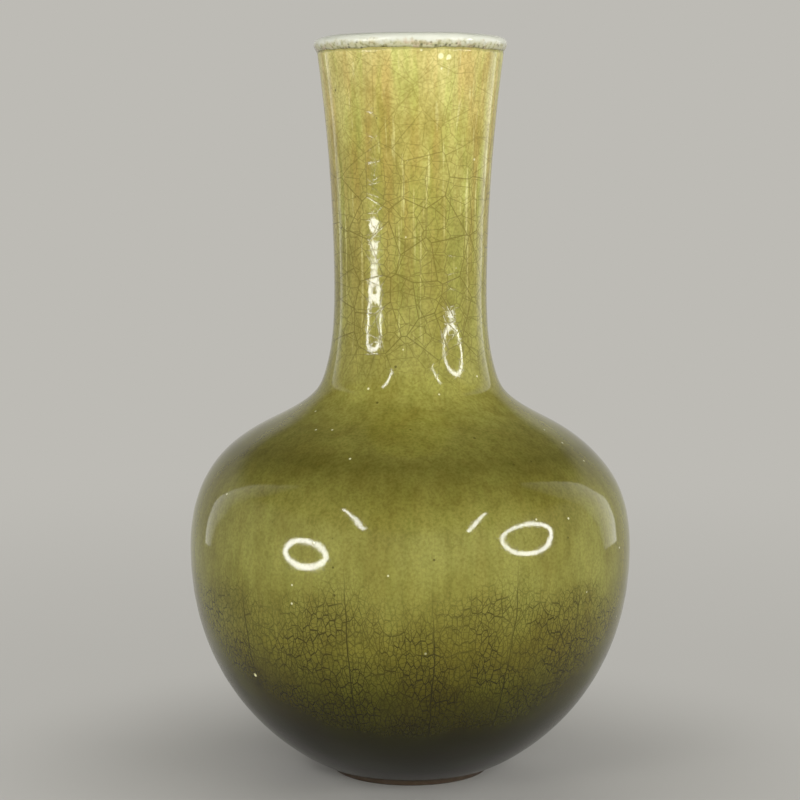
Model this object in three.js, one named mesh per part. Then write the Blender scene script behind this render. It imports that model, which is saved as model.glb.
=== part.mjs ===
import * as THREE from "three";

// A globular vase with a long neck, made the way it is thrown: a turned base, two halves of the globe and
// a neck, luted together with slip, then glazed green outside, white on the lip and pale inside.
// Millimetres, +Z up, origin at the middle of the foot's bottom face.

// Finished vase, over the glaze: each height is where one curve of the form ends and the next begins
const height = 300;
const bellyRadius = 90.3;
const bellyHeight = 92.8;
const shoulderRadiusShare = 0.589;
const shoulderHeight = 147.2;
const waistRadius = 31.4;
const waistHeight = 204.6;
const mouthRadius = 37.9;

// How full the curves are: their arms, as shares of the way that the curve goes up or, at a flat end,
// in or out, and the rise of the flat ends as a share of their run
const footSlopeShare = 0.373;
const footArmShare = 0.256;
const bellyArmShare = 0.663;
const shoulderArmShare = 0.715;
const shoulderEndArmShare = 0.368;
const shoulderSlopeShare = 0.535;
const throatRootArmShare = 0.335;
const throatArmShare = 0.735;
const flareArmShare = 0.45;

// Foot: the belly ends a little outside the foot ring, which is bare and hollow underneath
const footTopRadius = 35.5;
const footHeight = 3;
const footLedge = 3;
const footWidth = 6;
const footBevel = 0.8;
const recessDepth = 6;

// Clay wall, measured straight through it at the foot and at the lip
const footWall = 7;
const lipWall = 4.4;

// Joints: the slip between two sections, the rise of their bevelled faces from the outside to the inside,
// and where along their curves the base and the neck are luted on
const slipThickness = 1;
const jointBevel = 2.5;
const baseJointShare = 0.42;
const neckJointShare = 0.4;

// Glaze coats: the green one runs thicker towards the foot, and the white one makes a bead on the lip
const footGlaze = 1.2;
const lipGlaze = 0.6;
const liningGlaze = 0.6;
const baseGlaze = 0.6;
const baseGlazeStop = 1.5;
const rimDepth = 6;
const rimGlaze = 1.3;
const rimBulge = 6;

// Facets round the axis, and edges along each stretch of the profile
const facets = 40;
const baseEdgeCount = 2;
const lowerEdgeCount = 5;
const upperEdgeCount = 5;
const throatEdgeCount = 2;
const neckRootEdgeCount = 3;
const flareEdgeCount = 4;
const lipEdgeCount = 6;

// Fired clay and glaze colours
const bareClay = 0xd9c7a8;
const slipClay = 0xe4d8c0;
const greenGlaze = 0x8f8a44;
const whiteGlaze = 0xd9dbd0;
const paleGlaze = 0xcfc9ac;
const clayRoughness = 0.85;
const glazeRoughness = 0.12;

// A point of the profile
const at = (radius, z) => new THREE.Vector2(radius, z);

// A place moved along a way
const moved = (place, way, distance) => way.clone().multiplyScalar(distance).add(place);

// Form line: the glazed outside from the foot to the white rim, as curves that meet in a tangent
const foot = at(footTopRadius, footHeight);
const widest = at(bellyRadius, bellyHeight);
const shoulder = at(bellyRadius * shoulderRadiusShare, shoulderHeight);
const waist = at(waistRadius, waistHeight);
const mouth = at(mouthRadius, height - rimDepth);
const footWay = at(1, footSlopeShare).normalize();
const shoulderWay = at(-1, shoulderSlopeShare).normalize();

const bellyCurve = new THREE.CubicBezierCurve(
  foot,
  moved(foot, footWay, (widest.x - foot.x) * footArmShare),
  at(widest.x, widest.y - (widest.y - foot.y) * bellyArmShare),
  widest,
);
const shoulderCurve = new THREE.CubicBezierCurve(
  widest,
  at(widest.x, widest.y + (shoulder.y - widest.y) * shoulderArmShare),
  moved(shoulder, shoulderWay, (shoulder.x - widest.x) * shoulderEndArmShare),
  shoulder,
);
const throatCurve = new THREE.CubicBezierCurve(
  shoulder,
  moved(shoulder, shoulderWay, (waist.y - shoulder.y) * throatRootArmShare),
  at(waist.x, waist.y - (waist.y - shoulder.y) * throatArmShare),
  waist,
);
const flareCurve = new THREE.QuadraticBezierCurve(
  waist,
  at(waist.x, waist.y + (mouth.y - waist.y) * flareArmShare),
  mouth,
);

// Stations along part of a curve: each has its place, the way along the curve and the way out of the wall
function stations(curve, from, to, edgeCount) {
  return Array.from({ length: edgeCount + 1 }, (_, i) => {
    const share = from + ((to - from) * i) / edgeCount;
    const along = curve.getTangent(share);
    return { place: curve.getPoint(share), along, out: at(along.y, -along.x), bevel: 0 };
  });
}

// At a joint, each section stops half of the slip short of the place where the curves meet, and its face
// rises inwards, so that the section above centres itself on the one below
const shifted = (station, distance) => ({
  ...station,
  place: moved(station.place, station.along, distance),
  bevel: jointBevel,
});
const fromJoint = ([first, ...rest]) => [shifted(first, slipThickness / 2), ...rest];
const toJoint = (list) => [...list.slice(0, -1), shifted(list.at(-1), -slipThickness / 2)];

const baseStations = toJoint(stations(bellyCurve, 0, baseJointShare, baseEdgeCount));
const lowerStations = toJoint(fromJoint(stations(bellyCurve, baseJointShare, 1, lowerEdgeCount)));
const upperStations = toJoint(
  fromJoint([
    ...stations(shoulderCurve, 0, 1, upperEdgeCount),
    ...stations(throatCurve, 0, neckJointShare, throatEdgeCount).slice(1),
  ]),
);
const neckStations = fromJoint([
  ...stations(throatCurve, neckJointShare, 1, neckRootEdgeCount),
  ...stations(flareCurve, 0, 1, flareEdgeCount).slice(1),
]);
const allStations = [...baseStations, ...lowerStations, ...upperStations, ...neckStations];

// Each surface lies at its depth under the form line, and the thicknesses change evenly with height
const byHeight = (atFoot, atLip, z) => atFoot + ((atLip - atFoot) * z) / height;
const glazeDepth = (z) => byHeight(footGlaze, lipGlaze, z);
const wallDepth = (z) => glazeDepth(z) + byHeight(footWall, lipWall, z);
const liningDepth = (z) => wallDepth(z) + liningGlaze;

const outerSurface = (list, depth) => list.map(({ place, out }) => moved(place, out, -depth(place.y)));
const innerSurface = (list, depth) =>
  list.map(({ place, along, out, bevel }) => moved(moved(place, out, -depth(place.y)), along, bevel));
const glazeOutside = (list) => outerSurface(list, () => 0);
const clayOutside = (list) => outerSurface(list, glazeDepth);
const clayInside = (list) => innerSurface(list, wallDepth);
const liningInside = (list) => innerSurface(list, liningDepth);

// A closed wall between two surfaces: up the first and down the second
const wall = (first, second) => [...first, ...second.toReversed()];

// The lip of the clay and the white bead over it are arches from the outside over the top to the inside.
// A cubic arch stands three quarters of its arms above its ends.
const archRiseShare = 0.75;
function arch(outer, inner, top, bulge) {
  const arm = (top - (outer.y + inner.y) / 2) / archRiseShare;
  const curve = new THREE.CubicBezierCurve(
    outer,
    at(outer.x + bulge, outer.y + arm),
    at(inner.x - bulge, inner.y + arm),
    inner,
  );
  return curve.getPoints(lipEdgeCount);
}
const lastPoint = (outline) => outline(allStations).at(-1);
const clayLip = arch(lastPoint(clayOutside), lastPoint(clayInside), height - rimGlaze, 0);
const whiteLip = arch(lastPoint(glazeOutside), lastPoint(liningInside), height, rimBulge);

// A turned piece: its profile starts and ends on the axis or is closed here
const vase = new THREE.Group();
function turn(profile) {
  const closed = profile[0].x === 0 ? profile : [...profile, profile[0]];
  return new THREE.LatheGeometry(closed, facets).rotateX(Math.PI / 2);
}
function addPiece(name, geometry, color, roughness) {
  const mesh = new THREE.Mesh(geometry, new THREE.MeshStandardMaterial({ color, roughness, metalness: 0 }));
  mesh.name = name;
  vase.add(mesh);
}
function addClay(name, profile, color) {
  addPiece(name, turn(profile), color, clayRoughness);
}

// A coat's profile follows the clay in the clay's own direction, so that both split their facets alike.
// That leaves its faces looking inwards, so each triangle is turned round.
function addCoat(name, profile, color) {
  const geometry = turn(profile);
  const corners = geometry.index.array;
  for (let i = 0; i < corners.length; i += 3) {
    [corners[i], corners[i + 1]] = [corners[i + 1], corners[i]];
  }
  geometry.computeVertexNormals();
  addPiece(name, geometry, color, glazeRoughness);
}

// Base section: a floor level with the foot of the inside wall, over a foot ring with bevelled edges
const ledge = clayOutside(baseStations)[0];
const footRadius = ledge.x - footLedge;
const recessRadius = footRadius - footWidth;
const floorHeight = clayInside(baseStations)[0].y;
const recess = [at(0, recessDepth), at(recessRadius, recessDepth), at(recessRadius, baseGlazeStop)];
const footRing = [
  at(recessRadius, footBevel),
  at(recessRadius + footBevel, 0),
  at(footRadius - footBevel, 0),
  at(footRadius, footBevel),
  at(footRadius, ledge.y),
];
addClay(
  "base_section",
  [...recess, ...footRing, ...wall(clayOutside(baseStations), clayInside(baseStations)), at(0, floorHeight)],
  bareClay,
);

// Thrown halves of the globe, and the neck up to its rounded lip
addClay("lower_belly", wall(clayOutside(lowerStations), clayInside(lowerStations)), bareClay);
addClay("upper_belly", wall(clayOutside(upperStations), clayInside(upperStations)), bareClay);
addClay(
  "neck",
  wall([...clayOutside(neckStations), ...clayLip.slice(1, -1)], clayInside(neckStations)),
  bareClay,
);

// Slip rings that fill the joints through the whole wall
function addSlip(name, below, above) {
  const joint = [below.at(-1), above[0]];
  addClay(name, wall(clayOutside(joint), clayInside(joint)), slipClay);
}
addSlip("base_slip", baseStations, lowerStations);
addSlip("belly_slip", lowerStations, upperStations);
addSlip("neck_slip", upperStations, neckStations);

// Glaze: green over the outside, white over the lip, pale in the inside and in the hollow of the foot
addCoat("outer_glaze", wall(clayOutside(allStations), glazeOutside(allStations)), greenGlaze);
addCoat("rim_glaze", wall(clayLip, whiteLip), whiteGlaze);
addCoat(
  "inner_glaze",
  [
    at(0, liningInside(baseStations)[0].y),
    ...wall(liningInside(allStations), clayInside(allStations)),
    at(0, floorHeight),
  ],
  paleGlaze,
);
addCoat(
  "base_glaze",
  [
    ...recess,
    at(recessRadius - baseGlaze, baseGlazeStop),
    at(recessRadius - baseGlaze, recessDepth - baseGlaze),
    at(0, recessDepth - baseGlaze),
  ],
  paleGlaze,
);

export default vase;
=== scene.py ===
"""A globular vase with a long neck, turned finely and glazed: green crackled outside, white on the lip,
pale inside, bare clay at the foot. The sizes are the model's, in millimetres, and the meshes are metres."""

import math

import bpy
import numpy as np
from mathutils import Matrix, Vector


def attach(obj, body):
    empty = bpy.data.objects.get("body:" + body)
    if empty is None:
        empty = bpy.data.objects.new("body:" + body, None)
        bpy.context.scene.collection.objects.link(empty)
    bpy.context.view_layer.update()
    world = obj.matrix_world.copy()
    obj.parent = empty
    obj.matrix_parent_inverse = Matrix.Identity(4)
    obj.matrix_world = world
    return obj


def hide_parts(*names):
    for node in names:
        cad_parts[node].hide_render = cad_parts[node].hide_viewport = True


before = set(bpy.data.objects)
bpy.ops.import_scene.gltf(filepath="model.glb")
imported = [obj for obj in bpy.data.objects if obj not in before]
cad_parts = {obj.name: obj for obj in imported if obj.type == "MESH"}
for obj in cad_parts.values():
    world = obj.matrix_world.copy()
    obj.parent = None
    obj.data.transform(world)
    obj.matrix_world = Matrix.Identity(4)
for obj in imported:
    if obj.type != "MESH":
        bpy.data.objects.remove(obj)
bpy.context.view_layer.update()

MM = 0.001
TURN = 2 * math.pi

# Form line of the glazed outside: where its curves meet, and how full they are
HEIGHT = 300
BELLY_RADIUS = 90.3
BELLY_HEIGHT = 92.8
SHOULDER_RADIUS_SHARE = 0.589
SHOULDER_HEIGHT = 147.2
WAIST_RADIUS = 31.4
WAIST_HEIGHT = 204.6
MOUTH_RADIUS = 37.9
FOOT_SLOPE_SHARE = 0.373
FOOT_ARM_SHARE = 0.256
BELLY_ARM_SHARE = 0.663
SHOULDER_ARM_SHARE = 0.715
SHOULDER_END_ARM_SHARE = 0.368
SHOULDER_SLOPE_SHARE = 0.535
THROAT_ROOT_ARM_SHARE = 0.335
THROAT_ARM_SHARE = 0.735
FLARE_ARM_SHARE = 0.45
FORM_POINTS = 501

# Foot
FOOT_TOP_RADIUS = 35.5
FOOT_HEIGHT = 3
FOOT_LEDGE = 3
FOOT_WIDTH = 6
FOOT_BEVEL = 0.8
RECESS_DEPTH = 6
FLOOR_FILLET = 9

# Wall, slip and glaze
FOOT_WALL = 7
LIP_WALL = 4.4
SLIP = 1
JOINT_BEVEL = 2.5
BASE_JOINT_SHARE = 0.42
NECK_JOINT_SHARE = 0.4
FOOT_GLAZE = 1.2
LIP_GLAZE = 0.6
LINING_GLAZE = 0.6
BASE_GLAZE = 0.6
BASE_GLAZE_STOP = 1.5
RIM_DEPTH = 6
RIM_GLAZE = 1.3
RIM_BULGE = 6
COAT_EDGE = 0.3

# How finely the pieces are turned: sides round the axis, the step along a profile, and the points of each
# small curve on it
SIDES = 288
LINING_SIDES = 192
HIDDEN_SIDES = 144
SHOWN_STEP = 1.5
HIDDEN_STEP = 5
BEVEL_POINTS = 5
FILLET_POINTS = 9
CLAY_LIP_POINTS = 13
WHITE_LIP_POINTS = 41
COAT_EDGE_POINTS = 4


# Form


def bezier(corners, count):
    """Points on a Bezier curve: its corners are drawn together, each towards the next by the same share,
    until one is left."""
    share = np.linspace(0, 1, count)[:, None, None]
    points = np.broadcast_to(np.array(corners, float), (count, len(corners), 2))
    while points.shape[1] > 1:
        points = points[:, :-1] * (1 - share) + points[:, 1:] * share
    return points[:, 0]


def form_line():
    """Radius and height up the glazed outside, as Bezier curves that meet in a tangent: the belly up to its
    widest place, the shoulder, the throat to the waist, and a quadratic flare to the white rim."""
    foot = np.array([FOOT_TOP_RADIUS, FOOT_HEIGHT])
    widest = np.array([BELLY_RADIUS, BELLY_HEIGHT])
    shoulder = np.array([BELLY_RADIUS * SHOULDER_RADIUS_SHARE, SHOULDER_HEIGHT])
    waist = np.array([WAIST_RADIUS, WAIST_HEIGHT])
    mouth = np.array([MOUTH_RADIUS, HEIGHT - RIM_DEPTH])
    upright = np.array([0, 1])
    foot_way = np.array([1, FOOT_SLOPE_SHARE]) / math.hypot(1, FOOT_SLOPE_SHARE)
    shoulder_way = np.array([-1, SHOULDER_SLOPE_SHARE]) / math.hypot(1, SHOULDER_SLOPE_SHARE)
    belly_span, shoulder_span = widest - foot, shoulder - widest
    throat_span, flare_span = waist - shoulder, mouth - waist
    belly = [
        foot,
        foot + foot_way * belly_span[0] * FOOT_ARM_SHARE,
        widest - upright * belly_span[1] * BELLY_ARM_SHARE,
        widest,
    ]
    upper = [
        widest,
        widest + upright * shoulder_span[1] * SHOULDER_ARM_SHARE,
        shoulder + shoulder_way * shoulder_span[0] * SHOULDER_END_ARM_SHARE,
        shoulder,
    ]
    throat = [
        shoulder,
        shoulder + shoulder_way * throat_span[1] * THROAT_ROOT_ARM_SHARE,
        waist - upright * throat_span[1] * THROAT_ARM_SHARE,
        waist,
    ]
    flare = [waist, waist + upright * flare_span[1] * FLARE_ARM_SHARE, mouth]
    curves = [bezier(corners, FORM_POINTS) for corners in (belly, upper, throat, flare)]
    base_joint = curves[0][round(BASE_JOINT_SHARE * (FORM_POINTS - 1)), 1]
    neck_joint = curves[2][round(NECK_JOINT_SHARE * (FORM_POINTS - 1)), 1]
    line = np.concatenate([curves[0], *(curve[1:] for curve in curves[1:])])
    return line, base_joint, neck_joint


FORM, BASE_JOINT, NECK_JOINT = form_line()
RUN = np.concatenate([[0], np.cumsum(np.linalg.norm(np.diff(FORM, axis=0), axis=1))])
WHOLE_RUN = RUN[-1]


def run_at(height):
    """Distance along the form line from the foot to a height."""
    return float(np.interp(height, FORM[:, 1], RUN))


def under(run, depth):
    """Points that lie at a depth under the form line, straight into the wall. The depth goes with height."""
    place = np.stack([np.interp(run, RUN, FORM[:, 0]), np.interp(run, RUN, FORM[:, 1])], 1)
    along = np.stack([np.interp(run, RUN, np.gradient(FORM[:, part], RUN)) for part in (0, 1)], 1)
    along /= np.linalg.norm(along, axis=1, keepdims=True)
    out = np.stack([along[:, 1], -along[:, 0]], 1)
    return place - out * depth(place[:, 1])[:, None]


def by_height(at_foot, at_lip, height):
    """A thickness that changes evenly from the foot to the lip."""
    return at_foot + (at_lip - at_foot) * height / HEIGHT


def glaze_depth(height):
    """Depth of the clay's outside under the glazed outside."""
    return by_height(FOOT_GLAZE, LIP_GLAZE, height)


def wall_depth(height):
    """Depth of the clay's inside."""
    return glaze_depth(height) + by_height(FOOT_WALL, LIP_WALL, height)


def lining_depth(height):
    """Depth of the lining's inside."""
    return wall_depth(height) + LINING_GLAZE


def no_depth(height):
    """Depth of the glazed outside itself."""
    return height * 0


def runs(start, stop, step):
    """Distances along the form line from start to stop, about a step apart."""
    return np.linspace(start, stop, max(2, round(abs(stop - start) / step) + 1))


def rounded(corner_list, cut, count):
    """An outline whose inner corners are cut off by a distance, each by a quadratic curve."""
    corners = np.array(corner_list, float)
    made = [corners[:1]]
    for before, corner, after in zip(corners[:-2], corners[1:-1], corners[2:]):
        back = before - corner
        on = after - corner
        reach = min(cut, np.linalg.norm(back) / 2, np.linalg.norm(on) / 2)
        start = corner + back / np.linalg.norm(back) * reach
        stop = corner + on / np.linalg.norm(on) * reach
        made.append(bezier([start, corner, stop], count))
    made.append(corners[-1:])
    return np.concatenate(made)


# A cubic arch stands three quarters of its arms above its ends
ARCH_RISE_SHARE = 0.75


def arch(outer, inner, top, bulge, count):
    """A cubic arch over the lip, from outside to inside."""
    arm = (top - (outer[1] + inner[1]) / 2) / ARCH_RISE_SHARE
    outer_corner = (outer[0] + bulge, outer[1] + arm)
    inner_corner = (inner[0] - bulge, inner[1] + arm)
    return bezier([outer, outer_corner, inner_corner, inner], count)


# The hand's unevenness: all of it draws the wall inwards or lets the lip down, so the piece keeps its size.
# The neck, its root and the right shoulder are each drawn in by a depth, at a height, over a reach.
SWAY = 0.3
RIPPLE = 0.05
RING_PITCH = 8.6
WIDE_RING_PITCH = 11.3
NECK_DRAW = (0.45, 185, 25)
ROOT_DRAW = (0.9, 157, 7)
SHOULDER_DRAW = (1.2, 134, 12)
LIP_SAG = 0.25
LIP_TILT = 0.2


def drawn_in(height, depth, middle, reach):
    """A bell curve over height: its depth at its middle, and about a third of that a reach away."""
    return depth * np.exp(-(((height - middle) / reach) ** 2))


def hand(angle, height):
    """How far the wall stands inside its true circle, in mm: out of round by a slow wave whose crest turns
    with height, plus faint rings from the throwing, about 9 and 11 mm apart. The neck is drawn in where it
    was luted on, and the shoulder on the right. It all fades out at the foot."""
    sway = 2 + np.cos(2 * angle + height / 70 + 0.6) + np.cos(3 * angle - height / 45 + 2.1)
    close_rings = np.sin(TURN * height / RING_PITCH + 1.3 * np.sin(angle))
    wide_rings = np.sin(TURN * height / WIDE_RING_PITCH + 0.7)
    neck = drawn_in(height, *NECK_DRAW) + drawn_in(height, *ROOT_DRAW)
    shoulder = np.clip(np.cos(angle), 0, 1) ** 2 * drawn_in(height, *SHOULDER_DRAW)
    fade = np.clip(height / (4 * FOOT_HEIGHT), 0, 1)
    return fade * (SWAY * sway / 4 + RIPPLE * (2 + close_rings + wide_rings) / 4 + neck + shoulder)


def lip_drop(angle, height):
    """How far the rim lies under its full height, in mm: three waves, of 2, 5 and 9 to the round, and a tilt
    to the left, which grow with the cube of the height above the waist."""
    wave = 3 + np.cos(2 * angle + 1.0) + np.cos(5 * angle + 2.4) + np.cos(9 * angle)
    tilt = 1 - np.cos(angle)
    share = np.clip((height - WAIST_HEIGHT) / (HEIGHT - WAIST_HEIGHT), 0, 1)
    return share**3 * (LIP_SAG * wave / 6 + LIP_TILT * tilt)


# Meshes


def round_faces(rows, sides, polar):
    """Point numbers of the quads between the rings of a turned piece and, where it is polar, of the two fans
    that close it on the axis."""
    column = np.arange(sides)
    if polar:
        ids = 1 + np.arange((rows - 2) * sides).reshape(rows - 2, sides)
    else:
        ids = np.arange(rows * sides).reshape(rows, sides)
        ids = np.concatenate([ids, ids[:1]])
    beside = np.roll(ids, -1, 1)
    quads = np.stack([ids[:-1], beside[:-1], beside[1:], ids[1:]], 2).reshape(-1, 4)
    if not polar:
        return quads, np.zeros((0, 3), int)
    low = np.stack([column * 0, beside[0], ids[0]], 1)
    high = np.stack([ids[-1], beside[-1], column * 0 + ids[-1, -1] + 1], 1)
    return quads, np.concatenate([low, high])


def round_map(steps, sides, polar):
    """The bake map's place for each corner of those faces: once round is the map's width, and the steps along
    the outline add up to its height. A fan's point on the axis lies midway between its other two."""
    across = np.arange(sides + 1) / sides
    up = np.concatenate([[0], np.cumsum(steps)]) / steps.sum()
    body = up[1:-1] if polar else up
    left, low = np.meshgrid(across[:-1], body[:-1])
    right, high = np.meshgrid(across[1:], body[1:])
    corners = [(left, low), (right, low), (right, high), (left, high)]
    quad_map = np.stack([np.stack(pair, 2) for pair in corners], 2).reshape(-1, 2)
    if not polar:
        return quad_map
    left, right, middle = across[:-1], across[1:], (across[:-1] + across[1:]) / 2
    first, last, start = (np.full(sides, level) for level in (body[0], body[-1], 0))
    low_fan = np.stack([[middle, start], [right, first], [left, first]]).transpose(2, 0, 1)
    high_fan = np.stack([[left, last], [right, last], [middle, start + 1]]).transpose(2, 0, 1)
    return np.concatenate([quad_map, low_fan.reshape(-1, 2), high_fan.reshape(-1, 2)])


def turned(name, outline, sides=SIDES, edge=None, spread=None):
    """A closed piece turned on Z: the outline's points (radius, height, mm) are carried round the axis. The
    outline runs up the outside and down the inside; it closes on itself, or starts and ends on the axis.
    edge shifts each point's height by angle. The hand's unevenness is full on the wall and fades towards the
    axis. spread gives each step's share of the bake map's height."""
    polar = outline[0, 0] == 0
    angle = TURN * np.arange(sides) / sides
    radius = outline[:, :1] + angle * 0
    height = outline[:, 1:] + angle * 0
    if edge is not None:
        height = height + edge(angle)
    radius = radius - np.where(radius > 0, hand(angle, height), 0) * np.clip(radius / FOOT_TOP_RADIUS, 0, 1)
    height = height - lip_drop(angle, height)
    grid = np.stack([radius * np.cos(angle), radius * np.sin(angle), height], 2)
    if polar:
        points = np.concatenate([grid[:1, 0], grid[1:-1].reshape(-1, 3), grid[-1:, 0]])
    else:
        points = grid.reshape(-1, 3)
    quads, fans = round_faces(len(outline), sides, polar)

    mesh = bpy.data.meshes.new(name)
    mesh.vertices.add(len(points))
    mesh.vertices.foreach_set("co", (points * MM).ravel())
    corners = np.concatenate([quads.ravel(), fans.ravel()])
    sizes = np.concatenate([np.full(len(quads), 4), np.full(len(fans), 3)])
    mesh.loops.add(len(corners))
    mesh.loops.foreach_set("vertex_index", corners)
    mesh.polygons.add(len(sizes))
    mesh.polygons.foreach_set("loop_start", np.concatenate([[0], np.cumsum(sizes)[:-1]]))
    mesh.polygons.foreach_set("use_smooth", np.ones(len(sizes), bool))
    mesh.update(calc_edges=True)

    # For the patterns, how far each point has climbed: with the angle it makes a map of the wall on which
    # nothing is stretched, only larger where the piece is wider. Near the axis it is taken as no narrower
    # than the foot ring is wide, so that the climb has an end.
    closed = outline if polar else np.concatenate([outline, outline[:1]])
    steps = np.linalg.norm(np.diff(closed, axis=0), axis=1)
    width = np.maximum((closed[:-1, 0] + closed[1:, 0]) / 2, FOOT_WIDTH)
    climb = np.concatenate([[0], np.cumsum(steps / width)])[: len(outline)]
    if polar:
        climbed = np.concatenate([climb[:1], np.repeat(climb[1:-1], sides), climb[-1:]])
    else:
        climbed = np.repeat(climb, sides)
    mesh.attributes.new("climb", "FLOAT", "POINT").data.foreach_set("value", climbed)

    if spread is not None:
        steps = steps * spread(closed)
    bake_map = mesh.uv_layers.new(name="OFBake")
    bake_map.data.foreach_set("uv", round_map(steps, sides, polar).ravel())

    piece = bpy.data.objects.new(name, mesh)
    bpy.context.scene.collection.objects.link(piece)
    return piece


def wall(start, stop, outer_depth, inner_depth, step, bevel=0):
    """Outline of a wall along the form line: up one surface and down the other, which a bevelled joint face
    carries further on."""
    line = runs(start, stop, step)
    first = under(line, outer_depth)
    second = under(np.clip(line + bevel, 0, WHOLE_RUN), inner_depth)
    return np.concatenate([first, second[::-1]])


base_run, belly_run, neck_run = run_at(BASE_JOINT), run_at(BELLY_HEIGHT), run_at(NECK_JOINT)
half_slip = SLIP / 2

# Foot ring and floor of the base section
ledge = under(np.array([0.0]), glaze_depth)[0]
foot_radius = ledge[0] - FOOT_LEDGE
recess_radius = foot_radius - FOOT_WIDTH
floor_corner = under(np.array([0.0]), wall_depth)[0]
lining_corner = under(np.array([0.0]), lining_depth)[0]


def wall_foot(depth, corner):
    """The inside wall from the base joint down to the floor, with the soft corner that a thrown floor has."""
    up = under(runs(0, base_run - half_slip + JOINT_BEVEL, SHOWN_STEP), depth)
    reach = np.linalg.norm(up - corner, axis=1)
    stop = up[reach > FLOOR_FILLET]
    floor = np.array([corner[0] - FLOOR_FILLET, corner[1]])
    return np.concatenate([stop[::-1], bezier([stop[0], corner, floor], FILLET_POINTS)[1:]])


recess = [(0, RECESS_DEPTH), (recess_radius, RECESS_DEPTH), (recess_radius, BASE_GLAZE_STOP)]
foot_ring = [
    *recess,
    (recess_radius, 0),
    (foot_radius, 0),
    (foot_radius, ledge[1]),
    tuple(ledge),
]
base_outline = np.concatenate(
    [
        rounded(foot_ring, FOOT_BEVEL, BEVEL_POINTS),
        under(runs(0, base_run - half_slip, SHOWN_STEP), glaze_depth)[1:],
        wall_foot(wall_depth, floor_corner),
        [(0, floor_corner[1])],
    ]
)
foot = turned("turned_base", base_outline)
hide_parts("base_section")

sections = {
    "thrown_lower_belly": ("lower_belly", base_run, belly_run),
    "thrown_upper_belly": ("upper_belly", belly_run, neck_run),
}
clay_pieces = [foot]
for piece_name, (node_name, start, stop) in sections.items():
    outline = wall(start + half_slip, stop - half_slip, glaze_depth, wall_depth, HIDDEN_STEP, JOINT_BEVEL)
    piece = turned(piece_name, outline, HIDDEN_SIDES)
    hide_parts(node_name)
    clay_pieces.append(piece)

neck_line = runs(neck_run + half_slip, WHOLE_RUN, HIDDEN_STEP)
neck_outside = under(neck_line, glaze_depth)
carried_on = JOINT_BEVEL * (WHOLE_RUN - neck_line) / np.ptp(neck_line)
neck_inside = under(neck_line + carried_on, wall_depth)
clay_lip = arch(neck_outside[-1], neck_inside[-1], HEIGHT - RIM_GLAZE, 0, CLAY_LIP_POINTS)
neck = turned("thrown_neck", np.concatenate([neck_outside, clay_lip[1:-1], neck_inside[::-1]]), HIDDEN_SIDES)
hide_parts("neck")
clay_pieces.append(neck)

slip_pieces = []
for piece_name, joint in {"base_slip": base_run, "belly_slip": belly_run, "neck_slip": neck_run}.items():
    outline = wall(joint - half_slip, joint + half_slip, glaze_depth, wall_depth, SLIP, JOINT_BEVEL)
    piece = turned(f"luted_{piece_name}", outline, HIDDEN_SIDES)
    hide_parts(piece_name)
    slip_pieces.append(piece)


# The first wave of the white's lower edge, in mm, and how near to that edge the points move with it
RIM_WAVER = 0.14
RIM_WAVER_REACH = 2.5


def rim_line(outline_height):
    """Height shift of the line where white meets green, by angle: three waves, of 7, 17 and 31 to the round,
    because the white has crept down unevenly."""

    def shift(angle):
        near = np.clip(1 - np.abs(outline_height - (HEIGHT - RIM_DEPTH)) / RIM_WAVER_REACH, 0, 1)[:, None]
        wave = np.cos(7 * angle + 0.5) + 0.8 * np.cos(17 * angle + 1.9) + 0.6 * np.cos(31 * angle)
        return near * wave * RIM_WAVER

    return shift


outside_line = runs(0, WHOLE_RUN, SHOWN_STEP)
backing_line = runs(WHOLE_RUN, 0, HIDDEN_STEP)
glaze_outline = np.concatenate([under(outside_line, no_depth), under(backing_line, glaze_depth)])
shown_rows = len(outside_line)
BACKING_SHARE = 0.02


def mostly_outside(closed):
    """Share of the bake map for each step: 1 for what shows, and little for the backing that nobody sees."""
    share = np.full(len(closed) - 1, BACKING_SHARE)
    share[: shown_rows - 1] = 1
    return share


outer = turned("green_coat", glaze_outline, edge=rim_line(glaze_outline[:, 1]), spread=mostly_outside)
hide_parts("outer_glaze")

mouth_run = np.array([WHOLE_RUN])
outer_lip, inner_lip = under(mouth_run, no_depth)[0], under(mouth_run, lining_depth)[0]
white_lip = arch(outer_lip, inner_lip, HEIGHT, RIM_BULGE, WHITE_LIP_POINTS)
rim_outline = np.concatenate([white_lip, clay_lip[::-1]])
rim = turned("white_bead", rim_outline, edge=rim_line(rim_outline[:, 1]))
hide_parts("rim_glaze")

lining_line = runs(base_run - half_slip + JOINT_BEVEL, WHOLE_RUN, SHOWN_STEP)
lining_outline = np.concatenate(
    [
        [(0, floor_corner[1])],
        wall_foot(wall_depth, floor_corner)[::-1],
        under(lining_line, wall_depth)[1:],
        under(lining_line[::-1], lining_depth),
        wall_foot(lining_depth, lining_corner)[1:],
        [(0, lining_corner[1])],
    ]
)
lining = turned("pale_lining", lining_outline, LINING_SIDES)
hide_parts("inner_glaze")

recess_coat = [
    (0, RECESS_DEPTH - BASE_GLAZE),
    (recess_radius - BASE_GLAZE, RECESS_DEPTH - BASE_GLAZE),
    (recess_radius - BASE_GLAZE, BASE_GLAZE_STOP),
    (recess_radius, BASE_GLAZE_STOP),
    (recess_radius, RECESS_DEPTH),
    (0, RECESS_DEPTH),
]
base_coat = turned("recess_coat", rounded(recess_coat, COAT_EDGE, COAT_EDGE_POINTS), LINING_SIDES)
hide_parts("base_glaze")

for piece in [*clay_pieces, *slip_pieces, outer, rim, lining, base_coat]:
    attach(piece, "root")


# Materials


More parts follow.
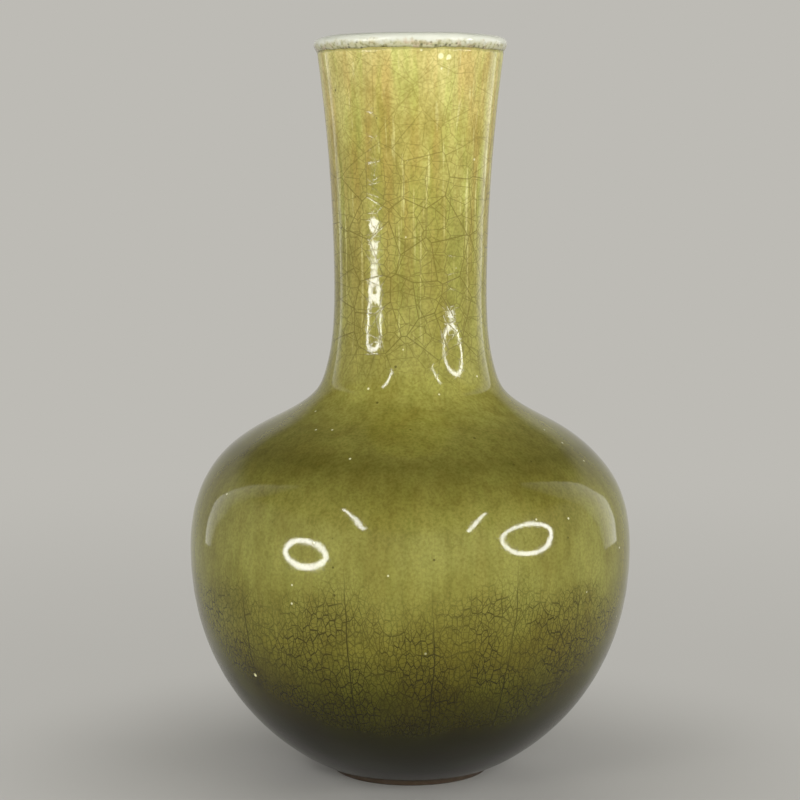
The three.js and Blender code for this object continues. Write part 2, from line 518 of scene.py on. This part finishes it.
def colour(hex_code):
    """An sRGB hex colour as the linear colour that nodes take."""
    parts = [int(hex_code[start : start + 2], 16) / 255 for start in (1, 3, 5)]
    return (*(part / 12.92 if part <= 0.04045 else ((part + 0.055) / 1.055) ** 2.4 for part in parts), 1)


def feed(tree, node, inputs):
    """Fills a node's inputs: each gets a value, another node's socket, or a node, whose first output in use
    it takes."""
    for key, value in inputs.items():
        if isinstance(value, bpy.types.Node):
            value = next(socket for socket in value.outputs if socket.enabled)
        if isinstance(value, bpy.types.NodeSocket):
            tree.links.new(value, node.inputs[key])
        else:
            node.inputs[key].default_value = value


def add(tree, kind, inputs, **settings):
    """Adds a shader node with its settings, and fills its inputs."""
    made = tree.nodes.new("ShaderNode" + kind)
    for key, value in settings.items():
        setattr(made, key, value)
    feed(tree, made, inputs)
    return made


# A range that starts and ends gently
SOFTLY = {"interpolation_type": "SMOOTHSTEP"}


def material(name, pieces):
    """A bare material with its shader, given to pieces."""
    made = bpy.data.materials.new(name)
    made.use_nodes = True
    for piece in pieces:
        piece.data.materials.append(made)
    return made.node_tree, made.node_tree.nodes["Principled BSDF"]


def places(tree):
    """Object coordinates in mm."""
    metres = add(tree, "TexCoord", {}).outputs["Object"]
    return add(tree, "VectorMath", {0: metres, "Scale": 1 / MM}, operation="SCALE")


def height_and_radius(tree, spot):
    """The height among coordinates, and their distance from the axis."""
    height = add(tree, "SeparateXYZ", {0: spot}).outputs["Z"]
    level = add(tree, "VectorMath", {0: spot, 1: (1, 1, 0)}, operation="MULTIPLY")
    return height, add(tree, "VectorMath", {0: level}, operation="LENGTH").outputs["Value"]


def blots(tree, spot, size, start, stop, low=0, high=1, detail=2):
    """Soft blots about a size across, in mm: a share that goes from low to high where a noise goes from start
    to stop."""
    noise = add(tree, "TexNoise", {"Vector": spot, "Scale": 1 / size, "Detail": detail})
    return add(tree, "MapRange", {0: noise, 1: start, 2: stop, 3: low, 4: high}, **SOFTLY)


def wandering(tree, spot, vector, size, distance):
    """Adds to a vector a noise of blots of a size, which draws it aside by up to half of a distance, each way
    in its first two parts."""
    noise = add(tree, "TexNoise", {"Vector": spot, "Scale": 1 / size, "Detail": 2}).outputs["Color"]
    swing = add(tree, "VectorMath", {0: noise, 1: (0.5, 0.5, 0.5)}, operation="SUBTRACT")
    inputs = {0: swing, 1: (distance, distance, 0), 2: vector}
    return add(tree, "VectorMath", inputs, operation="MULTIPLY_ADD")


def unrolled(tree, spot):
    """The wall laid flat: the angle from the front, -pi to pi, and the climb, both wandering a little so that
    no line is straight. The sides meet at the back, where the join is drawn as one more long crack."""
    parts = add(tree, "SeparateXYZ", {0: spot})
    behind = add(tree, "Math", {0: parts.outputs["Y"], 1: -1}, operation="MULTIPLY")
    angle = add(tree, "Math", {0: parts.outputs["X"], 1: behind}, operation="ARCTAN2")
    climb = add(tree, "Attribute", {}, attribute_name="climb").outputs["Fac"]
    wall_map = add(tree, "CombineXYZ", {0: angle, 1: climb})
    wall_map = wandering(tree, spot, wall_map, 60, 0.08)
    wall_map = wandering(tree, spot, wall_map, 7, 0.014)
    parts = add(tree, "SeparateXYZ", {0: wall_map})
    angle = add(tree, "Math", {0: parts.outputs["X"], 1: math.pi, 2: -math.pi}, operation="WRAP")
    return add(tree, "CombineXYZ", {0: angle, 1: parts.outputs["Y"]}), angle


def edge_lines(tree, scattered, dimensions, radius, cells, width):
    """Lines along the edges between scattered cells, so many to a radian. A line is about a width wide, in
    mm, because it fades out that far to each side."""
    edge = add(tree, "TexVoronoi", scattered, voronoi_dimensions=dimensions, feature="DISTANCE_TO_EDGE")
    gap = add(tree, "Math", {0: edge, 1: radius}, operation="MULTIPLY")
    return add(tree, "MapRange", {0: gap, 1: 0, 2: width * cells, 3: 1, 4: 0}, **SOFTLY)


def crack_net(tree, wall_map, radius, cells, tall, width, shift=(0, 0, 0)):
    """A net of cracks: the edges between cells that are tall times as high as wide. The second result says
    how the cells are scattered."""
    inputs = {0: wall_map, 1: (cells, cells / tall, 0), 2: shift}
    scattered = {"Vector": add(tree, "VectorMath", inputs, operation="MULTIPLY_ADD"), "Scale": 1}
    return edge_lines(tree, scattered, "2D", radius, cells, width), scattered


def long_cracks(tree, angle, radius, cells, width, shift):
    """Cracks that run the whole height: the edges between cells scattered along the angle alone."""
    scattered = {"W": add(tree, "Math", {0: angle, 1: cells, 2: shift}, operation="MULTIPLY_ADD"), "Scale": 1}
    return edge_lines(tree, scattered, "1D", radius, cells, width)


# How far a net's cells throw the pattern of the finer net inside them
THROW = 40


def afresh(tree, scattered):
    """The shift of a finer net that ends at a net's cracks, because each cell throws it to a place of its
    own."""
    owner = add(tree, "TexVoronoi", scattered, voronoi_dimensions="2D").outputs["Color"]
    return add(tree, "VectorMath", {0: owner, "Scale": THROW}, operation="SCALE")


def specks(tree, spot, spacing, radius, keep, shift=(0, 0, 0)):
    """Round specks about a spacing apart, of which a share is kept: the places near scattered points."""
    moved = add(tree, "VectorMath", {0: spot, 1: shift}, operation="ADD")
    near = add(tree, "TexVoronoi", {"Vector": moved, "Scale": 1 / spacing})
    reach = radius / spacing
    dot = add(tree, "MapRange", {0: near, 1: reach / 2, 2: reach, 3: 1, 4: 0}, **SOFTLY)
    chance = add(tree, "SeparateColor", {0: near.outputs["Color"]})
    kept = add(tree, "Math", {0: chance, 1: keep}, operation="LESS_THAN")
    return add(tree, "Math", {0: dot, 1: kept}, operation="MULTIPLY")


def overlap(tree, shares):
    """How much shows where several shares have to agree: their product."""
    whole, *rest = shares
    for share in rest:
        whole = add(tree, "Math", {0: whole, 1: share}, operation="MULTIPLY")
    return whole


def strongest(tree, patterns):
    """The strongest of several patterns at each place, where each is a list of shares that have to agree."""
    most = 0
    for shares in patterns:
        most = add(tree, "Math", {0: most, 1: overlap(tree, shares)}, operation="MAXIMUM")
    return most


def layered(tree, tone, layers):
    """Colours laid over a tone in turn: each layer is a way to blend, its colour, and shares that have to
    agree. A MULTIPLY layer stains what lies below, and a MIX layer covers it."""
    for blend, above, *shares in layers:
        if isinstance(above, str):
            above = colour(above)
        inputs = {0: overlap(tree, shares), 6: tone, 7: above}
        tone = add(tree, "Mix", inputs, data_type="RGBA", blend_type=blend)
    return tone


def graded(tree, height, stops):
    """A colour that changes with height, through hex colours at heights in mm."""
    share = add(tree, "Math", {0: height, 1: HEIGHT}, operation="DIVIDE")
    ramp = add(tree, "ValToRGB", {0: share})
    elements = ramp.color_ramp.elements
    elements.remove(elements[1])
    for index, (place, code) in enumerate(stops.items()):
        stop = elements[0] if index == 0 else elements.new(place / HEIGHT)
        stop.position = place / HEIGHT
        stop.color = colour(code)
    return ramp


def relief(tree, heights):
    """Bump from the sum of shares, each times its height in mm."""
    total = 0
    for share, height in heights:
        total = add(tree, "Math", {0: share, 1: height, 2: total}, operation="MULTIPLY_ADD")
    return add(tree, "Bump", {"Height": total, "Distance": MM, "Strength": 1})


# Celadon: a lime glaze with iron, fired short of air, poured thick over buff clay. It is glass: a sharp gloss
# over an olive depth, yellower where it ran thin at the lip and darker where it pooled near the foot.
# Painted shade darkens it further, to near black at the foot and to a dark band on the shoulder.
# It shrank more than the clay, so it is crazed, and tea or iron has stained the cracks.
tree, shader = material("green crackled celadon glaze", [outer])
spot = places(tree)
height, radius = height_and_radius(tree, spot)
wall_map, angle = unrolled(tree, spot)

# Tone by height, from the pool at the foot over the pale belly and the shoulder to the thin lip. It holds
# painted shade: the near black at the foot and the dark band on the shoulder stand for shade there.
tone = graded(
    tree,
    height,
    {
        0: "#14120A",
        28: "#2A2904",
        48: "#514F13",
        68: "#767129",
        90: "#8C8A42",
        104: "#8B8943",
        118: "#807D3B",
        135: "#635F26",
        150: "#8D8A40",
        166: "#98954C",
        215: "#A7A256",
        262: "#C4BC6B",
        293: "#DED48B",
    },
)

# A height that wavers round the vase, and by it where the neck's own pattern begins
sway = add(tree, "TexNoise", {"Vector": spot, "Scale": 1 / 45, "Detail": 1})
uneven = add(tree, "Math", {0: sway, 1: 36, 2: height}, operation="MULTIPLY_ADD")
on_neck = add(tree, "MapRange", {0: uneven, 1: 172, 2: 200, 3: 0, 4: 1}, **SOFTLY)

# Runs down the neck, tan, green and pale; soft clouds, brushed mottling and grain; brown where it pooled
up_neck = add(tree, "MapRange", {0: height, 1: 160, 2: 245, 3: 0.2, 4: 1}, **SOFTLY)
rougher = add(tree, "MapRange", {0: height, 1: 120, 2: 200, 3: 0.85, 4: 1}, **SOFTLY)
low_down = add(tree, "MapRange", {0: height, 1: 40, 2: 85, 3: 1, 4: 0}, **SOFTLY)
drawn_out = add(tree, "VectorMath", {0: spot, 1: (1, 1, 0.06)}, operation="MULTIPLY")
aside = add(tree, "VectorMath", {0: drawn_out, 1: (90, 40, 0)}, operation="ADD")
narrow = add(tree, "VectorMath", {0: spot, 1: (1, 1, 0.01)}, operation="MULTIPLY")
brushed = add(tree, "VectorMath", {0: spot, 1: (1, 1, 0.35)}, operation="MULTIPLY")
tone = layered(
    tree,
    tone,
    [
        ("MULTIPLY", "#FBEDE7", blots(tree, drawn_out, 7, 0.44, 0.66, detail=3), up_neck),
        ("MULTIPLY", "#F5FFEE", blots(tree, aside, 5, 0.46, 0.66, detail=3), up_neck),
        ("MIX", "#E8E3A0", blots(tree, narrow, 1.7, 0.62, 0.72, 0, 0.55, 1), on_neck, up_neck),
        ("MULTIPLY", "#EAE6D6", blots(tree, spot, 26, 0.35, 0.65)),
        ("MULTIPLY", "#E9E7DE", blots(tree, brushed, 4, 0.35, 0.68, detail=4), rougher),
        ("MULTIPLY", "#E2E0D5", blots(tree, spot, 1.1, 0.35, 0.7), rougher),
        ("MULTIPLY", "#DCC6A8", blots(tree, spot, 34, 0.45, 0.7, 0, 0.5), low_down),
    ],
)

# Cracks: long and few on the neck, hardly any on the shoulder, fine and dense on the lower belly, where some
# run its whole height. The finest real ones are 0.1 mm wide and would not show, so they are drawn at twice
# that. The nets' shifts pick different parts of one endless pattern.
on_belly = add(tree, "MapRange", {0: uneven, 1: 94, 2: 113, 3: 1, 4: 0.08}, **SOFTLY)
below_lip = add(tree, "MapRange", {0: uneven, 1: 250, 2: 300, 3: 1, 4: 0.45}, **SOFTLY)
off_shoulder = add(tree, "MapRange", {0: height, 1: 118, 2: 145, 3: 1, 4: 0}, **SOFTLY)
patchy = blots(tree, spot, 16, 0.35, 0.6, 0.6, 1)
strands = blots(tree, aside, 24, 0.36, 0.52, 0.6, 1)
long_lines, long_cells = crack_net(tree, wall_map, radius, 2.4, 1.2, 0.34)
crossing, _ = crack_net(tree, wall_map, radius, 3.6, 0.8, 0.3, (11.3, 7.7, 0))
small, _ = crack_net(tree, wall_map, radius, 7.5, 1.5, 0.27, afresh(tree, long_cells))
upright, upright_cells = crack_net(tree, wall_map, radius, 38, 2.4, 0.22, (3.1, 5.9, 0))
ties, _ = crack_net(tree, wall_map, radius, 36, 0.85, 0.19, afresh(tree, upright_cells))
plates, _ = crack_net(tree, wall_map, radius, 15, 2.2, 0.22, (5.7, 2.3, 0))
whole_height = long_cracks(tree, angle, radius, 2.6, 0.38, 173.02)
turned_away = add(tree, "Math", {0: angle}, operation="ABSOLUTE")
to_join = add(tree, "Math", {0: math.pi, 1: turned_away}, operation="SUBTRACT")
join = add(tree, "MapRange", {0: overlap(tree, [to_join, radius]), 1: 0, 2: 0.4, 3: 1, 4: 0}, **SOFTLY)
cracks = strongest(
    tree,
    [
        (long_lines, on_neck, below_lip, 0.85),
        (crossing, on_neck, below_lip, 0.75),
        (small, on_neck, below_lip, patchy, 0.58),
        (upright, on_belly, off_shoulder, patchy, 0.95),
        (ties, on_belly, off_shoulder, patchy, 0.9),
        (plates, on_belly, off_shoulder, 0.55),
        (whole_height, on_belly, off_shoulder, strands, 0.95),
        (join, 0.4),
    ],
)
# The cracks' stain by height: a real stain, darkened towards the foot by the same painted shade as the tone
crack_stain_and_shade_stops = {0: "#0C0900", 60: "#1D1804", 110: "#362F0E", 170: "#5A521D", 290: "#7A6E2C"}
crack_stain_and_shade = graded(tree, height, crack_stain_and_shade_stops)

# Iron specks, pinholes, three burst bubbles, and a darker line where the green meets the white
pinholes = specks(tree, spot, 7, 0.6, 0.3, (31, 17, 5))
above_pool = add(tree, "MapRange", {0: uneven, 1: 80, 2: 105, 3: 0, 4: 0.75}, **SOFTLY)
bubbles = []
for place, size in {(11.8, -35.5, 290.4): 1.5, (15, -34.3, 290.1): 1.3, (-60.5, -55.7, 51): 1}.items():
    away = add(tree, "VectorMath", {0: spot, 1: place}, operation="DISTANCE").outputs["Value"]
    bubbles.append([add(tree, "MapRange", {0: away, 1: size / 2, 2: size, 3: 1, 4: 0}, **SOFTLY)])
bubbles = strongest(tree, bubbles)
ripple = add(tree, "TexNoise", {"Vector": spot, "Scale": 1 / 4, "Detail": 2})
near_rim = add(tree, "Math", {0: ripple, 1: 1.6, 2: height}, operation="MULTIPLY_ADD")
edge_line = add(tree, "MapRange", {0: near_rim, 1: 293.2, 2: 294.2, 3: 0, 4: 0.6}, **SOFTLY)
tone = layered(
    tree,
    tone,
    [
        ("MIX", crack_stain_and_shade, cracks),
        ("MIX", "#433C15", specks(tree, spot, 7.5, 0.75, 0.3), 0.8),
        ("MIX", "#E2E0B4", pinholes, above_pool),
        ("MIX", "#7C7A45", edge_line),
        ("MIX", "#F0ECB4", bubbles, 0.9),
    ],
)
worn = add(tree, "MapRange", {0: uneven, 1: 50, 2: 110, 3: 0.1, 4: 0.035}, **SOFTLY)
gloss = add(tree, "Math", {0: blots(tree, spot, 9, 0, 1), 1: 0.05, 2: worn}, operation="MULTIPLY_ADD")
gloss = add(tree, "Math", {0: cracks, 1: 0.12, 2: gloss}, operation="MULTIPLY_ADD")
skin = relief(
    tree,
    [
        (blots(tree, spot, 14, 0, 1, detail=0), 0.08),
        (blots(tree, spot, 2.2, 0, 1, detail=1), 0.008),
        (cracks, -0.012),
        (pinholes, -0.05),
        (bubbles, -0.08),
    ],
)
feed(tree, shader, {"Base Color": tone, "Roughness": gloss, "IOR": 1.4, "Normal": skin})

# Tin-white glaze, wiped thick round the lip: smooth and bright on top, mottled grey, green and pink where it
# thins over the green
tree, shader = material("white rim glaze", [rim])
spot = places(tree)
height, _ = height_and_radius(tree, spot)
ragged = add(tree, "TexNoise", {"Vector": spot, "Scale": 1 / 2.6, "Detail": 3})
ragged = add(tree, "Math", {0: ragged, 1: 5, 2: height}, operation="MULTIPLY_ADD")
thin = add(tree, "MapRange", {0: ragged, 1: 297, 2: 300, 3: 1, 4: 0}, **SOFTLY)
tone = layered(
    tree,
    colour("#D3D4C4"),
    [
        ("MIX", "#CACCBB", blots(tree, spot, 9, 0.35, 0.7, 0, 0.6)),
        ("MIX", "#BDB88C", thin, 0.85),
        ("MIX", "#C6A68E", blots(tree, spot, 3.4, 0.5, 0.62), thin, 0.5),
        ("MIX", "#8E8C5C", blots(tree, spot, 1.7, 0.47, 0.62, detail=3), thin, 0.8),
        ("MIX", "#5E5C44", specks(tree, spot, 1.9, 0.7, 0.5), thin, 0.75),
        ("MIX", "#5B594A", specks(tree, spot, 7, 0.35, 0.35), 0.6),
    ],
)
skin = relief(
    tree,
    [
        (blots(tree, spot, 5, 0, 1, detail=1), 0.06),
        (blots(tree, spot, 1.2, 0, 1, detail=1), 0.006),
        (thin, -0.03),
    ],
)
gloss = blots(tree, spot, 4, 0.3, 0.7, 0.06, 0.14)
feed(tree, shader, {"Base Color": tone, "Roughness": gloss, "Normal": skin})

# Thin pale celadon that lines the inside and the hollow of the foot: cream with a green cast, open stained
# cracks, and patches where the gloss is duller
tree, shader = material("pale lining glaze", [lining, base_coat])
spot = places(tree)
bent = wandering(tree, spot, spot, 6, 2.5)
seams = add(tree, "TexVoronoi", {"Vector": bent, "Scale": 1 / 8}, feature="DISTANCE_TO_EDGE")
lines = add(tree, "MapRange", {0: seams, 1: 0, 2: 0.045, 3: 0.6, 4: 0}, **SOFTLY)
tone = layered(
    tree,
    colour("#CFC9AC"),
    [
        ("MIX", "#BDBB92", blots(tree, spot, 22, 0.35, 0.7, 0, 0.6)),
        ("MIX", "#DDD8BF", blots(tree, spot, 3, 0.45, 0.75, 0, 0.3)),
        ("MIX", "#7E6C40", lines),
        ("MIX", "#57492C", specks(tree, spot, 8, 0.45, 0.3), 0.7),
    ],
)
skin = relief(
    tree,
    [
        (blots(tree, spot, 10, 0, 1, detail=1), 0.08),
        (blots(tree, spot, 2, 0, 1, detail=1), 0.01),
        (lines, -0.015),
    ],
)
gloss = blots(tree, spot, 12, 0.3, 0.7, 0.09, 0.26)
feed(tree, shader, {"Base Color": tone, "Roughness": gloss, "Normal": skin})

# Buff stoneware left bare: dry and sandy, with rings from the turning tool, iron specks, the dirt that an
# unglazed foot takes, and a dark brown foot ring, partly its fired flush and partly painted shade
# under the belly
tree, shader = material("bare fired clay", clay_pieces)
spot = places(tree)
height, radius = height_and_radius(tree, spot)
# Dark brown below 4 mm: the foot's fired flush, and painted shade of the foot ring under the belly
foot_flush_and_shade = add(tree, "MapRange", {0: height, 1: 4, 2: 9, 3: 0.97, 4: 0}, **SOFTLY)
outwards = add(tree, "Math", {0: radius, 1: height}, operation="ADD")
groove = add(tree, "TexNoise", {"W": outwards, "Scale": 1 / 0.9, "Detail": 1}, noise_dimensions="1D")
ridges = add(tree, "MapRange", {0: groove, 1: 0.4, 2: 0.7, 3: 0, 4: 0.25}, **SOFTLY)
tone = layered(
    tree,
    colour("#B79F78"),
    [
        ("MIX", "#A4875C", blots(tree, spot, 12, 0.35, 0.65, detail=3)),
        ("MIX", "#D8C6A0", ridges),
        ("MIX", "#4A3826", blots(tree, spot, 5, 0.5, 0.7, 0, 0.6, 3)),
        ("MIX", "#2C2219", foot_flush_and_shade),
        ("MIX", "#3A2D1E", specks(tree, spot, 2.4, 0.4, 0.3)),
    ],
)
skin = relief(
    tree,
    [
        (groove, 0.12),
        (blots(tree, spot, 0.7, 0, 1), 0.08),
        (blots(tree, spot, 4, 0, 1), 0.1),
    ],
)
dryness = blots(tree, spot, 3, 0.3, 0.7, 0.75, 0.95)
feed(tree, shader, {"Base Color": tone, "Roughness": dryness, "Normal": skin})

# Slip, the same clay let down with water and fired: paler and finer, with the drag of the brush
tree, shader = material("fired slip", slip_pieces)
spot = places(tree)
dragged = add(tree, "VectorMath", {0: spot, 1: (0.3, 0.3, 3)}, operation="MULTIPLY")
tone = layered(tree, colour("#E4D8C0"), [("MIX", "#D2C3A4", blots(tree, dragged, 2, 0.4, 0.65, detail=3))])
skin = relief(tree, [(blots(tree, dragged, 2, 0, 1, detail=3), 0.08), (blots(tree, spot, 0.8, 0, 1), 0.03)])
dryness = blots(tree, dragged, 2, 0.3, 0.7, 0.78, 0.92)
feed(tree, shader, {"Base Color": tone, "Roughness": dryness, "Normal": skin})


# Camera, floor and lights

# The camera in metres and radians, and its lens and the axis in pixels of the picture's width
AXIS_DISTANCE = 0.9
CAMERA_HEIGHT = 0.2478
CAMERA_PITCH = 0.1052
PICTURE_PIXELS = 800
FOCAL_PIXELS = 2210.1
AXIS_COLUMN = 410.4
SENSOR = 36

camera_data = bpy.data.cameras.new("camera")
camera_data.sensor_width = SENSOR
camera_data.lens = SENSOR * FOCAL_PIXELS / PICTURE_PIXELS
camera_data.shift_x = 1 / 2 - AXIS_COLUMN / PICTURE_PIXELS
camera_data.clip_start = 0.01
camera = bpy.data.objects.new("camera", camera_data)
camera.location = (0, -AXIS_DISTANCE, CAMERA_HEIGHT)
camera.rotation_euler = (math.pi / 2 - CAMERA_PITCH, 0, 0)
bpy.context.scene.collection.objects.link(camera)
bpy.context.scene.camera = camera

# What the eye sees behind the vase and over it, what the floor gives back, and the light of the room
BACKDROP = "#BDBBB5"
OVERHEAD = "#5E5D59"
BOUNCE = "#4A4944"
ROOM = "#5A5A58"
FLOOR_RADIUS = 1
FLOOR_RINGS = 8
FLOOR_SIDES = 64


def floor_disc():
    """A flat disc: rings of points at radius times cos and sin of the angle, at height zero. The radius goes
    with the square of a ring's number, so that the faces are small near the vase."""
    radius = FLOOR_RADIUS * (np.arange(1, FLOOR_RINGS + 1) / FLOOR_RINGS)[:, None] ** 2
    angle = TURN * np.arange(FLOOR_SIDES) / FLOOR_SIDES
    rings = np.stack([radius * np.cos(angle), radius * np.sin(angle), radius * angle * 0], 2)
    ids = 1 + np.arange(FLOOR_RINGS * FLOOR_SIDES).reshape(FLOOR_RINGS, FLOOR_SIDES)
    beside = np.roll(ids, -1, 1)
    quads = np.stack([ids[:-1], ids[1:], beside[1:], beside[:-1]], 2).reshape(-1, 4)
    fans = np.stack([ids[0] * 0, ids[0], beside[0]], 1)
    mesh = bpy.data.meshes.new("floor")
    points = [(0, 0, 0), *rings.reshape(-1, 3).tolist()]
    mesh.from_pydata(points, [], [*quads.tolist(), *fans.tolist()])
    piece = bpy.data.objects.new("floor", mesh)
    bpy.context.scene.collection.objects.link(piece)
    return piece


def looked_at(tree):
    """1 for what the camera sees, straight or mirrored or through glass, and 0 for light that spreads."""
    light_path = add(tree, "LightPath", {})
    kinds = ("Camera", "Glossy", "Transmission")
    return strongest(tree, [[light_path.outputs[f"Is {kind} Ray"]] for kind in kinds])


# Floor: pale paper that shows the shadow and gives back little light from below. Away from the vase its own
# glow takes over, until it is one with the backdrop.
floor = floor_disc()
tree, shader = material("pale floor paper", [floor])
feed(tree, shader, {"Base Color": colour(BACKDROP), "Roughness": 0.9, "Specular IOR Level": 0})
metres = add(tree, "TexCoord", {}).outputs["Object"]
away = add(tree, "VectorMath", {0: metres}, operation="LENGTH").outputs["Value"]
near_glow = add(tree, "MapRange", {0: away, 1: 0.05, 2: 0.21, 3: 0, 4: 0.7}, **SOFTLY)
far_glow = add(tree, "MapRange", {0: away, 1: 0.15, 2: 0.9, 3: 0, 4: 0.3}, **SOFTLY)
glow_share = add(tree, "Math", {0: near_glow, 1: far_glow}, operation="ADD")
glow = add(tree, "Emission", {0: colour(BACKDROP)})
paper = add(tree, "MixShader", {0: glow_share, 1: shader, 2: glow})
dim = add(tree, "BsdfDiffuse", {0: colour(BOUNCE)})
blend = add(tree, "MixShader", {0: looked_at(tree), 1: dim, 2: paper})
feed(tree, tree.nodes["Material Output"], {"Surface": blend})

# World: an even dim room for the light, and for the eye a pale backdrop that darkens overhead
world = bpy.data.worlds.new("studio")
bpy.context.scene.world = world
world.use_nodes = True
tree = world.node_tree
feed(tree, tree.nodes["Background"], {"Color": colour(ROOM)})
way = add(tree, "SeparateXYZ", {0: add(tree, "TexCoord", {}).outputs["Generated"]})
upwards = add(tree, "MapRange", {0: way.outputs["Z"], 1: 0.34, 2: 0.52}, **SOFTLY)
backdrop = add(tree, "Background", {0: layered(tree, colour(BACKDROP), [("MIX", OVERHEAD, upwards)])})
blend = add(tree, "MixShader", {0: looked_at(tree), 1: tree.nodes["Background"], 2: backdrop})
feed(tree, tree.nodes["World Output"], {"Surface": blend})


# Where on the axis each kind of lamp is aimed, and how far from there the mirrored ones stand, in metres
BOX_AIM = (0, 0, 0.13)
BAND_AIM = (0, 0, 0.1)
RING_AIM = (0, 0, 0.1)
BAR_AIM = (0, 0, 0.115)
BAND_DISTANCE = 7
RING_DISTANCE = 7
BAR_DISTANCE = 1.4

# How finely the glowing lamps are made: points along and across a band, and points round a ring
BAND_LENGTH_POINTS = 25
BAND_WIDTH_POINTS = 5
RING_POINTS = 72

# The shares of its light that a band has lost at its top and at its front edge
TOP_LOSS_SHARE = 0.75
FRONT_LOSS_SHARE = 0.6


def bearing(azimuth, elevation, distance, aim):
    """Places at a distance from the aim, and the ways there. Azimuth 0 is towards the camera and 90 to its
    right, in degrees."""
    turn, rise = np.radians(azimuth), np.radians(elevation)
    way = np.stack([np.sin(turn) * np.cos(rise), -np.cos(turn) * np.cos(rise), np.sin(rise)], -1)
    return np.array(aim) + way * distance, way


def soft_box(name, azimuth, elevation, distance, width, height, radiance):
    """A rectangular lamp that faces the vase and is not mirrored in it. A lamp's watts are radiance times pi
    times its area."""
    data = bpy.data.lights.new(name, "AREA")
    data.shape = "RECTANGLE"
    data.size = width
    data.size_y = height
    data.energy = radiance * math.pi * width * height
    lamp = bpy.data.objects.new(name, data)
    lamp.location, way = bearing(azimuth, elevation, distance, BOX_AIM)
    lamp.rotation_euler = Vector(way).to_track_quat("Z", "Y").to_euler()
    lamp.visible_camera = False
    lamp.visible_glossy = False
    bpy.context.scene.collection.objects.link(lamp)


def glowing(name, points, quads, radiance, fade=1):
    """A lamp made of bare glowing faces. fade is the share of its radiance at each point."""
    mesh = bpy.data.meshes.new(name)
    mesh.from_pydata(points.tolist(), [], quads.tolist())
    mesh.attributes.new("fade", "FLOAT", "POINT").data.foreach_set("value", np.zeros(len(points)) + fade)
    lamp = bpy.data.objects.new(name, mesh)
    bpy.context.scene.collection.objects.link(lamp)
    lamp.visible_camera = False
    tree, shader = material(name, [lamp])
    tree.nodes.remove(shader)
    share = add(tree, "Attribute", {}, attribute_name="fade").outputs["Fac"]
    strength = add(tree, "Math", {0: share, 1: radiance}, operation="MULTIPLY")
    glow = add(tree, "Emission", {0: colour("#FFFFFF"), 1: strength})
    feed(tree, tree.nodes["Material Output"], {"Surface": glow})


def light_band(name, rear, front, radiance):
    """A curved sheet of light between two smooth rows of bearings that start at the floor: rows of points
    joined by quads. It fades from its rear edge to its front edge, and from its foot to its top."""
    edges = np.stack([bezier(rear, BAND_LENGTH_POINTS), bezier(front, BAND_LENGTH_POINTS)], 1)
    forwards = np.linspace(0, 1, BAND_WIDTH_POINTS)
    upwards = np.linspace(0, 1, BAND_LENGTH_POINTS)[:, None]
    bearings = edges[:, :1] * (1 - forwards[:, None]) + edges[:, 1:] * forwards[:, None]
    points, _ = bearing(*bearings.reshape(-1, 2).T, BAND_DISTANCE, BAND_AIM)
    ids = np.arange(len(points)).reshape(bearings.shape[:2])
    quads = np.stack([ids[:-1, :-1], ids[:-1, 1:], ids[1:, 1:], ids[1:, :-1]], 2).reshape(-1, 4)
    fade = (1 - TOP_LOSS_SHARE * upwards) * (1 - FRONT_LOSS_SHARE * forwards)
    glowing(name, points, quads, radiance, fade.ravel())


def ring_lamp(name, azimuth, elevation, half_width, half_height, tube, radiance):
    """A flat glowing ring that faces the vase: two ellipses of points, half a tube inside and outside of its
    line, joined by quads."""
    spot, way = bearing(azimuth, elevation, RING_DISTANCE, RING_AIM)
    side = np.cross([0, 0, 1], way)
    side /= np.linalg.norm(side)
    up = np.cross(way, side)
    angle = TURN * np.arange(RING_POINTS)[:, None] / RING_POINTS
    across, over = np.cos(angle) * side, np.sin(angle) * up
    inner, outer = (
        spot + across * (half_width + step) + over * (half_height + step) for step in (-tube / 2, tube / 2)
    )
    ids = np.arange(RING_POINTS)
    beside = np.roll(ids, -1)
    quads = np.stack([ids, ids + RING_POINTS, beside + RING_POINTS, beside], 1)
    glowing(name, np.concatenate([inner, outer]), quads, radiance)


def bar_lamp(name, first, second, width, radiance):
    """A straight glowing bar between two bearings: four corners, half a width to each side of its line."""
    start, way = bearing(*first, BAR_DISTANCE, BAR_AIM)
    stop, _ = bearing(*second, BAR_DISTANCE, BAR_AIM)
    side = np.cross(stop - start, way)
    side *= width / 2 / np.linalg.norm(side)
    points = np.stack([start - side, start + side, stop + side, stop - side])
    glowing(name, points, np.array([[0, 1, 2, 3]]), radiance)


# Lamps that the glaze mirrors: a ring and a short bar to each side of the camera, and a tall band further
# round each side
ring_lamp("ring_left", azimuth=-54.5, elevation=3.6, half_width=1.4, half_height=0.85, tube=0.35, radiance=26)
ring_lamp("ring_right", azimuth=63, elevation=12, half_width=1.8, half_height=1.2, tube=0.3, radiance=24)
bar_lamp("bar_left", (-40, 38), (-24, 24), width=0.05, radiance=24)
bar_lamp("bar_right", (43, 33), (30, 22), width=0.035, radiance=24)
light_band(
    "band_left",
    rear=[(-131, -6), (-134, 14), (-112, 33), (-86, 47)],
    front=[(-124, -6), (-116, 12), (-100, 27), (-82, 46)],
    radiance=2.3,
)
light_band(
    "band_right",
    rear=[(134, -6), (136, 18), (118, 36), (92, 49)],
    front=[(118, -6), (112, 14), (101, 29), (86, 47)],
    radiance=2.5,
)

# Soft light from the sides, the front and, weaker, from behind
soft_box("side_left", azimuth=-100, elevation=20, distance=1.3, width=0.7, height=0.7, radiance=1.7)
soft_box("side_right", azimuth=105, elevation=20, distance=1.3, width=0.7, height=0.7, radiance=2.0)
soft_box("front_fill", azimuth=10, elevation=9, distance=2.4, width=2.0, height=1.0, radiance=8.2)
soft_box("back_fill", azimuth=180, elevation=20, distance=2.4, width=1.6, height=1.0, radiance=3.2)

bpy.context.scene.view_settings.view_transform = "Standard"
